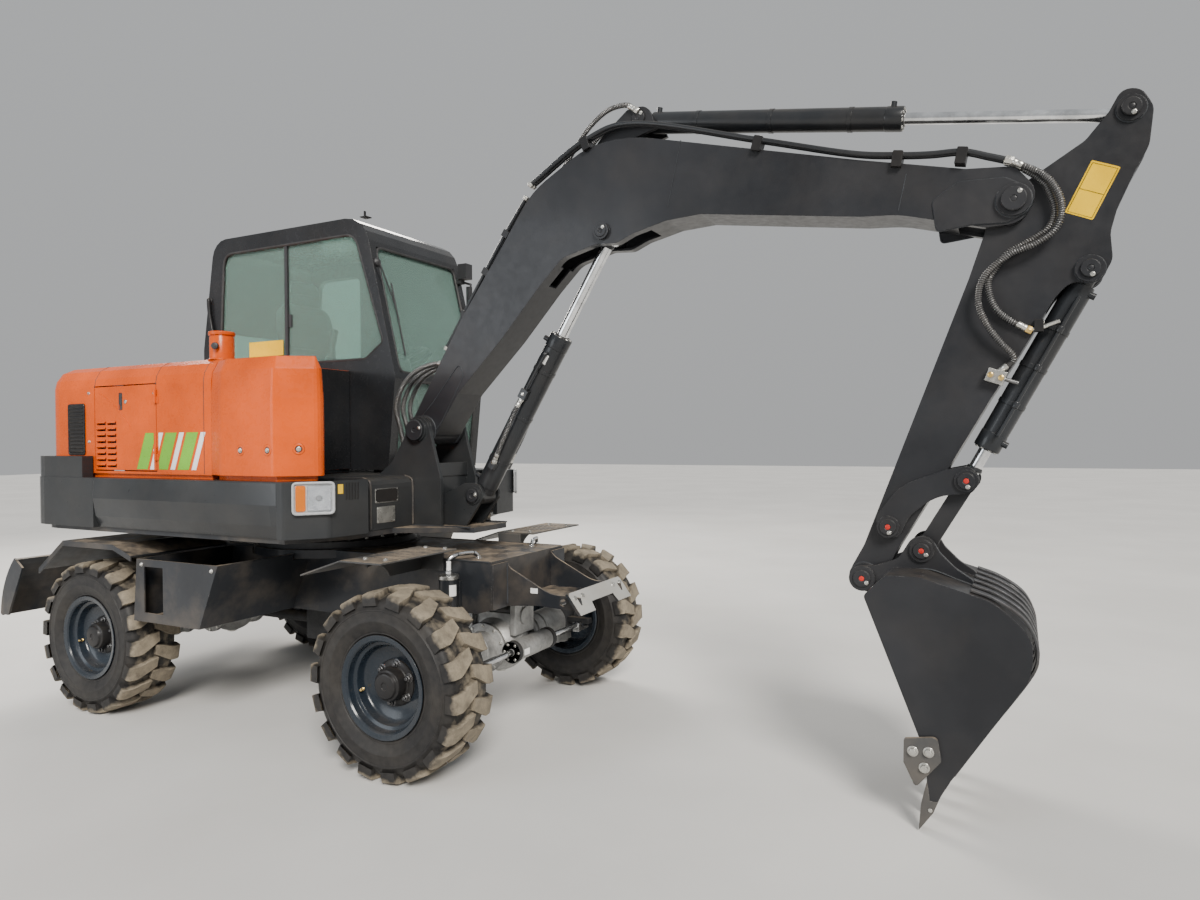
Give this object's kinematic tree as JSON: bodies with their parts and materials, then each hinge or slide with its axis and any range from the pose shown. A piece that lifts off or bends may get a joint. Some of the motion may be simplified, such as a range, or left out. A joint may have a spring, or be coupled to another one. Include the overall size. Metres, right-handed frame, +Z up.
{
  "type": "wheeled excavator",
  "caption": "Wheeled excavator with a one-piece boom, bucket, closed cab and a raised dozer blade behind.",
  "frame": {"origin": "on the ground under the front axle's centre", "axes": "+X forward, +Y to the machine's left, +Z up"},
  "size_m": [5.8221, 1.922, 3.1009],
  "materials": {
    "frame_paint": "satin",
    "boom_paint": "satin",
    "hood_paint": "gloss",
    "skirt_paint": "satin",
    "weight_paint": "satin",
    "cab_paint": "gloss",
    "rim_paint": "gloss",
    "tyre_rubber": "matt",
    "cast_housing": "cast",
    "cast_dark": "cast",
    "rod_chrome": "polished",
    "cylinder_paint": "satin",
    "step_plate": "worn",
    "cab_glass": "tinted",
    "seat_fabric": "woven",
    "trim_plastic": "grained",
    "lamp_lens": "clear",
    "hose_rubber": "matt",
    "tooth_steel": "worn"
  },
  "bodies": {
    "root": {"chassis_frame": "frame_paint", "front_bracket": "frame_paint", "slew_ring": "cast_dark", "front_steps": "step_plate", "rear_mudguards": "frame_paint", "side_boxes": "frame_paint", "front_axle": "cast_housing", "rear_axle": "cast_housing", "driveline": "cast_dark", "lock_cylinders": "cylinder_paint"},
    "knuckle_l": {"knuckle_left": "cast_dark"},
    "knuckle_r": {"knuckle_right": "cast_dark"},
    "steering_rod": {"steer_rod": "rod_chrome"},
    "wheel_fl": {"tyre_front_left": "tyre_rubber", "rim_front_left": "rim_paint"},
    "wheel_fr": {"tyre_front_right": "tyre_rubber", "rim_front_right": "rim_paint"},
    "wheel_rl": {"tyre_rear_left": "tyre_rubber", "rim_rear_left": "rim_paint"},
    "wheel_rr": {"tyre_rear_right": "tyre_rubber", "rim_rear_right": "rim_paint"},
    "dozer_blade": {"blade": "frame_paint"},
    "blade_cyl": {"blade_barrels": "cylinder_paint"},
    "blade_rod": {"blade_rods": "rod_chrome"},
    "house": {"deck": "frame_paint", "boom_bracket": "frame_paint", "skirts": "skirt_paint", "counterweight": "weight_paint", "hood": "hood_paint", "tank_cover": "hood_paint", "engine": "cast_housing", "headlamps": "lamp_lens", "cab_frame": "cab_paint", "cab_windows": "cab_glass", "seat": "seat_fabric", "controls": "trim_plastic", "cab_fittings": "trim_plastic", "handrail": "trim_plastic", "foot_hoses": "hose_rubber"},
    "side_door": {"engine_door": "hood_paint"},
    "tail_lid": {"rear_lid": "hood_paint"},
    "door": {"cab_door": "cab_paint", "door_window": "cab_glass"},
    "boom_body": {"boom": "boom_paint", "boom_pipes": "cylinder_paint", "arm_hoses": "hose_rubber", "cylinder_hoses": "hose_rubber"},
    "boom_cyl": {"boom_barrel": "cylinder_paint"},
    "boom_cyl_rod": {"boom_rod": "rod_chrome"},
    "arm_body": {"arm": "boom_paint"},
    "arm_cyl": {"arm_barrel": "cylinder_paint"},
    "arm_cyl_rod": {"arm_rod": "rod_chrome"},
    "bucket_cyl": {"bucket_barrel": "cylinder_paint"},
    "bucket_cyl_rod": {"bucket_rod": "rod_chrome"},
    "rocker_body": {"rocker": "boom_paint"},
    "link_body": {"link": "boom_paint"},
    "bucket_body": {"bucket": "boom_paint", "bucket_teeth": "tooth_steel"}
  },
  "joints": [
    {"name": "swing", "type": "hinge", "parent": "root", "child": "house", "pos_m": [-1.15, 0, 0.95], "axis": [0, 0, 1], "continuous": true},
    {"name": "steer_left", "type": "hinge", "parent": "root", "child": "knuckle_l", "pos_m": [0, 0.65, 0.42], "axis": [0, 0, 1], "range_deg": [-28, 28]},
    {"name": "steer_right", "type": "hinge", "parent": "root", "child": "knuckle_r", "pos_m": [0, -0.65, 0.42], "axis": [0, 0, 1], "range_deg": [-28, 28]},
    {"name": "steer_slide", "type": "slide", "parent": "root", "child": "steering_rod", "axis": [0, 1, 0], "range_m": [-0.0873, 0.0873]},
    {"name": "wheel_spin_fl", "type": "hinge", "parent": "knuckle_l", "child": "wheel_fl", "pos_m": [0, 0.8, 0.42], "axis": [0, 1, 0], "continuous": true},
    {"name": "wheel_spin_fr", "type": "hinge", "parent": "knuckle_r", "child": "wheel_fr", "pos_m": [0, -0.8, 0.42], "axis": [0, 1, 0], "continuous": true},
    {"name": "wheel_spin_rl", "type": "hinge", "parent": "root", "child": "wheel_rl", "pos_m": [-2.1, 0.8, 0.42], "axis": [0, 1, 0], "continuous": true},
    {"name": "wheel_spin_rr", "type": "hinge", "parent": "root", "child": "wheel_rr", "pos_m": [-2.1, -0.8, 0.42], "axis": [0, 1, 0], "continuous": true},
    {"name": "blade_lift", "type": "hinge", "parent": "root", "child": "dozer_blade", "pos_m": [-2.33, 0, 0.465], "axis": [0, -1, 0], "range_deg": [0, 58]},
    {"name": "blade_cyl_turn", "type": "hinge", "parent": "root", "child": "blade_cyl", "pos_m": [-2.55, 0, 0.96], "axis": [0, -1, 0], "range_deg": [-4.27, 0.3]},
    {"name": "blade_rod_slide", "type": "slide", "parent": "blade_cyl", "child": "blade_rod", "axis": [0.0787, 0, -0.9969], "range_m": [-0.001, 0.215]},
    {"name": "boom_lift", "type": "hinge", "parent": "house", "child": "boom_body", "pos_m": [-0.415, 0, 1.55], "axis": [0, -1, 0], "range_deg": [-45, 40], "deforming": ["foot_hoses"]},
    {"name": "boom_cyl_turn", "type": "hinge", "parent": "house", "child": "boom_cyl", "pos_m": [-0.11, 0, 1.2], "axis": [0, -1, 0], "range_deg": [-42.9, 38.16]},
    {"name": "boom_rod_slide", "type": "slide", "parent": "boom_cyl", "child": "boom_cyl_rod", "axis": [0.5203, 0, 0.854], "range_m": [-0.3319, 0.2951]},
    {"name": "arm_curl", "type": "hinge", "parent": "boom_body", "child": "arm_body", "pos_m": [2.4509, 0, 2.3989], "axis": [0, 1, 0], "range_deg": [-98, 10], "deforming": ["arm_hoses"]},
    {"name": "arm_cyl_turn", "type": "hinge", "parent": "boom_body", "child": "arm_cyl", "pos_m": [0.8601, 0, 3.0197], "axis": [0, 1, 0], "range_deg": [-0.34, 0.73]},
    {"name": "arm_rod_slide", "type": "slide", "parent": "arm_cyl", "child": "arm_cyl_rod", "axis": [0.9865, 0, -0.1641], "range_m": [-0.7322, 0.0756]},
    {"name": "bucket_curl", "type": "hinge", "parent": "arm_body", "child": "bucket_body", "pos_m": [1.8887, 0, 0.911], "axis": [0, 1, 0], "range_deg": [-8, 150]},
    {"name": "rocker_turn", "type": "hinge", "parent": "arm_body", "child": "rocker_body", "pos_m": [1.9895, 0, 1.1269], "axis": [0, 1, 0], "range_deg": [-6.41, 114.86]},
    {"name": "link_turn", "type": "hinge", "parent": "rocker_body", "child": "link_body", "pos_m": [2.2839, 0, 1.3203], "axis": [0, 1, 0], "range_deg": [-76.19, 4.35]},
    {"name": "bucket_cyl_turn", "type": "hinge", "parent": "arm_body", "child": "bucket_cyl", "pos_m": [2.705, 0, 2.118], "axis": [0, 1, 0], "range_deg": [-5.61, 0.58]},
    {"name": "bucket_rod_slide", "type": "slide", "parent": "bucket_cyl", "child": "bucket_cyl_rod", "axis": [-0.4669, 0, -0.8843], "range_m": [-0.0331, 0.602]},
    {"name": "door_swing", "type": "hinge", "parent": "house", "child": "door", "pos_m": [-1.763, 0.957, 2], "axis": [0, 0, 1], "range_deg": [0, 105]},
    {"name": "side_door_swing", "type": "hinge", "parent": "house", "child": "side_door", "pos_m": [-1.559, -0.887, 1.57], "axis": [0, 0, 1], "range_deg": [0, 100]},
    {"name": "tail_lid_lift", "type": "hinge", "parent": "house", "child": "tail_lid", "pos_m": [-2.483, 0, 1.925], "axis": [0, 1, 0], "range_deg": [0, 70]}
  ],
  "couplings": [
    {"joint": "blade_cyl_turn", "follows": "blade_lift", "ratio": -0.06841},
    {"joint": "blade_rod_slide", "follows": "blade_lift", "m_per_rad": 0.21136},
    {"joint": "steer_right", "follows": "steer_left", "ratio": 1},
    {"joint": "steer_slide", "follows": "steer_left", "m_per_rad": 0.1777},
    {"joint": "boom_cyl_turn", "follows": "boom_lift", "ratio": 0.9466},
    {"joint": "boom_rod_slide", "follows": "boom_lift", "m_per_rad": 0.42126},
    {"joint": "arm_cyl_turn", "follows": "arm_curl", "ratio": -0.00438},
    {"joint": "arm_rod_slide", "follows": "arm_curl", "m_per_rad": 0.42749},
    {"joint": "rocker_turn", "follows": "bucket_curl", "ratio": 0.7637},
    {"joint": "link_turn", "follows": "bucket_curl", "ratio": -0.50592},
    {"joint": "bucket_cyl_turn", "follows": "bucket_curl", "ratio": -0.03543},
    {"joint": "bucket_rod_slide", "follows": "bucket_curl", "m_per_rad": 0.22955}
  ]
}
